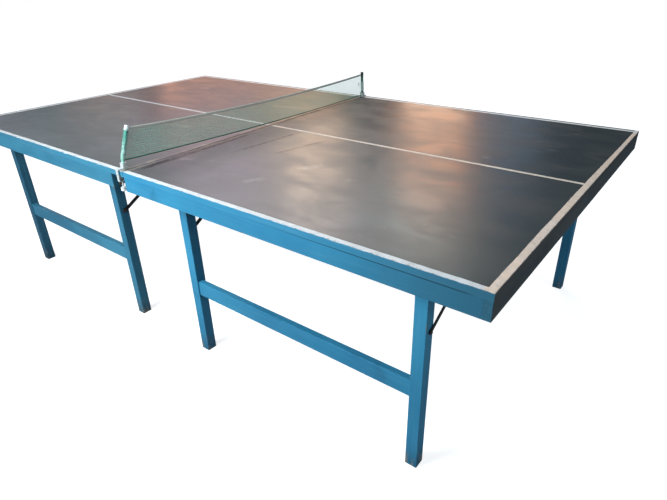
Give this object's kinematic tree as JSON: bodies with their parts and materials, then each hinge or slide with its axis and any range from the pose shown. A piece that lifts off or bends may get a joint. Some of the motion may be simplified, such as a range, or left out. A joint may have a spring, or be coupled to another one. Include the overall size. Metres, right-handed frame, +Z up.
{
  "type": "ping pong table",
  "caption": "Home-made style table tennis table in two free-standing halves with folding timber leg frames, deep painted apron and a clamp-on net on leaning posts.",
  "frame": {"origin": "on the floor under the middle of the closed-up table, where the two halves meet", "axes": "+X along the table's length towards the right half, +Y across it towards the rear side, +Z up; the floor is Z = 0 and the playing surface is Z = 0.760"},
  "size_m": [2.74, 1.538, 0.9086],
  "materials": {
    "playing_surface": "painted, semi-gloss, worn",
    "blue_paint": "brush-painted, chipped at the edges",
    "dark_paint": "brush-painted, semi-matt, worn",
    "bare_wood": "bare, aged",
    "dark_steel": "dull, darkened",
    "net_green": "knotted netting",
    "tape_white": "woven tape",
    "cord_green": "twisted cord",
    "post_green": "thin plastic coating over steel wire",
    "post_grey": "worn plastic coating over steel wire",
    "cap_white": "gloss",
    "clamp_white": "enamel",
    "knob_white": "moulded, satin"
  },
  "bodies": {
    "left_half": {"left_top_board": "playing_surface", "left_front_rail": "blue_paint", "left_rear_rail": "blue_paint", "left_end_rail": "dark_paint", "left_inner_rail": "bare_wood", "left_hinge_battens": "bare_wood", "left_centre_batten": "bare_wood", "left_hinge_upper_leaves": "dark_steel", "left_hinge_pins": "dark_steel", "left_stay_brackets": "dark_steel", "left_screws": "dark_steel", "front_clamp": "clamp_white", "rear_clamp": "clamp_white", "front_post": "post_green", "rear_post": "post_grey", "post_caps": "cap_white", "net_cloth": "net_green", "net_top_tape": "tape_white", "net_bottom_cord": "cord_green"},
    "right_half": {"right_top_board": "playing_surface", "right_front_rail": "blue_paint", "right_rear_rail": "blue_paint", "right_end_rail": "dark_paint", "right_inner_rail": "bare_wood", "right_hinge_battens": "bare_wood", "right_centre_batten": "bare_wood", "right_hinge_upper_leaves": "dark_steel", "right_hinge_pins": "dark_steel", "right_stay_brackets": "dark_steel", "right_screws": "dark_steel"},
    "left_front_legs": {"left_front_joint_leg": "blue_paint", "left_front_end_leg": "blue_paint", "left_front_stretcher": "blue_paint", "left_front_hinge_lower_leaves": "dark_steel", "left_front_leg_fixings": "dark_steel"},
    "left_front_stay_lower": {"left_front_stay_lower_links": "dark_steel"},
    "left_front_stay_upper": {"left_front_stay_upper_links": "dark_steel"},
    "left_rear_legs": {"left_rear_joint_leg": "blue_paint", "left_rear_end_leg": "blue_paint", "left_rear_stretcher": "blue_paint", "left_rear_hinge_lower_leaves": "dark_steel", "left_rear_leg_fixings": "dark_steel"},
    "left_rear_stay_lower": {"left_rear_stay_lower_links": "dark_steel"},
    "left_rear_stay_upper": {"left_rear_stay_upper_links": "dark_steel"},
    "right_front_legs": {"right_front_joint_leg": "blue_paint", "right_front_end_leg": "blue_paint", "right_front_stretcher": "blue_paint", "right_front_hinge_lower_leaves": "dark_steel", "right_front_leg_fixings": "dark_steel"},
    "right_front_stay_lower": {"right_front_stay_lower_links": "dark_steel"},
    "right_front_stay_upper": {"right_front_stay_upper_links": "dark_steel"},
    "right_rear_legs": {"right_rear_joint_leg": "blue_paint", "right_rear_end_leg": "blue_paint", "right_rear_stretcher": "blue_paint", "right_rear_hinge_lower_leaves": "dark_steel", "right_rear_leg_fixings": "dark_steel"},
    "right_rear_stay_lower": {"right_rear_stay_lower_links": "dark_steel"},
    "right_rear_stay_upper": {"right_rear_stay_upper_links": "dark_steel"},
    "front_clamp_screw": {"front_clamp_screw": "knob_white"},
    "rear_clamp_screw": {"rear_clamp_screw": "knob_white"}
  },
  "joints": [
    {"name": "halves_apart", "type": "slide", "parent": "left_half", "child": "right_half", "axis": [1, 0, 0], "range_m": [0, 0.3]},
    {"name": "left_front_leg_fold", "type": "hinge", "parent": "left_half", "child": "left_front_legs", "pos_m": [-0.716, -0.63, 0.716], "axis": [1, 0, 0], "range_deg": [0, 90]},
    {"name": "left_front_stay_upper", "type": "hinge", "parent": "left_half", "child": "left_front_stay_upper", "pos_m": [-0.716, -0.33877, 0.692], "axis": [1, 0, 0], "range_deg": [-30, 0]},
    {"name": "left_front_stay_lower", "type": "hinge", "parent": "left_front_legs", "child": "left_front_stay_lower", "pos_m": [-0.716, -0.654, 0.51], "axis": [1, 0, 0], "range_deg": [0, 60]},
    {"name": "left_rear_leg_fold", "type": "hinge", "parent": "left_half", "child": "left_rear_legs", "pos_m": [-0.666, 0.63, 0.716], "axis": [-1, 0, 0], "range_deg": [0, 90]},
    {"name": "left_rear_stay_upper", "type": "hinge", "parent": "left_half", "child": "left_rear_stay_upper", "pos_m": [-0.666, 0.33877, 0.692], "axis": [-1, 0, 0], "range_deg": [-30, 0]},
    {"name": "left_rear_stay_lower", "type": "hinge", "parent": "left_rear_legs", "child": "left_rear_stay_lower", "pos_m": [-0.666, 0.654, 0.51], "axis": [-1, 0, 0], "range_deg": [0, 60]},
    {"name": "right_front_leg_fold", "type": "hinge", "parent": "right_half", "child": "right_front_legs", "pos_m": [0.6715, -0.63, 0.716], "axis": [1, 0, 0], "range_deg": [0, 90]},
    {"name": "right_front_stay_upper", "type": "hinge", "parent": "right_half", "child": "right_front_stay_upper", "pos_m": [0.6715, -0.33877, 0.692], "axis": [1, 0, 0], "range_deg": [-30, 0]},
    {"name": "right_front_stay_lower", "type": "hinge", "parent": "right_front_legs", "child": "right_front_stay_lower", "pos_m": [0.6715, -0.654, 0.51], "axis": [1, 0, 0], "range_deg": [0, 60]},
    {"name": "right_rear_leg_fold", "type": "hinge", "parent": "right_half", "child": "right_rear_legs", "pos_m": [0.7215, 0.63, 0.716], "axis": [-1, 0, 0], "range_deg": [0, 90]},
    {"name": "right_rear_stay_upper", "type": "hinge", "parent": "right_half", "child": "right_rear_stay_upper", "pos_m": [0.7215, 0.33877, 0.692], "axis": [-1, 0, 0], "range_deg": [-30, 0]},
    {"name": "right_rear_stay_lower", "type": "hinge", "parent": "right_rear_legs", "child": "right_rear_stay_lower", "pos_m": [0.7215, 0.654, 0.51], "axis": [-1, 0, 0], "range_deg": [0, 60]},
    {"name": "front_clamp_turn", "type": "slide", "parent": "left_half", "child": "front_clamp_screw", "axis": [0, 0, -1], "range_m": [0, 0.011]},
    {"name": "rear_clamp_turn", "type": "slide", "parent": "left_half", "child": "rear_clamp_screw", "axis": [0, 0, -1], "range_m": [0, 0.011]}
  ],
  "couplings": [
    {"joint": "left_front_stay_upper", "follows": "left_front_leg_fold", "ratio": -0.33333},
    {"joint": "left_front_stay_lower", "follows": "left_front_leg_fold", "ratio": 0.66666},
    {"joint": "left_rear_stay_upper", "follows": "left_rear_leg_fold", "ratio": -0.33333},
    {"joint": "left_rear_stay_lower", "follows": "left_rear_leg_fold", "ratio": 0.66666},
    {"joint": "right_front_stay_upper", "follows": "right_front_leg_fold", "ratio": -0.33333},
    {"joint": "right_front_stay_lower", "follows": "right_front_leg_fold", "ratio": 0.66666},
    {"joint": "right_rear_stay_upper", "follows": "right_rear_leg_fold", "ratio": -0.33333},
    {"joint": "right_rear_stay_lower", "follows": "right_rear_leg_fold", "ratio": 0.66666}
  ]
}
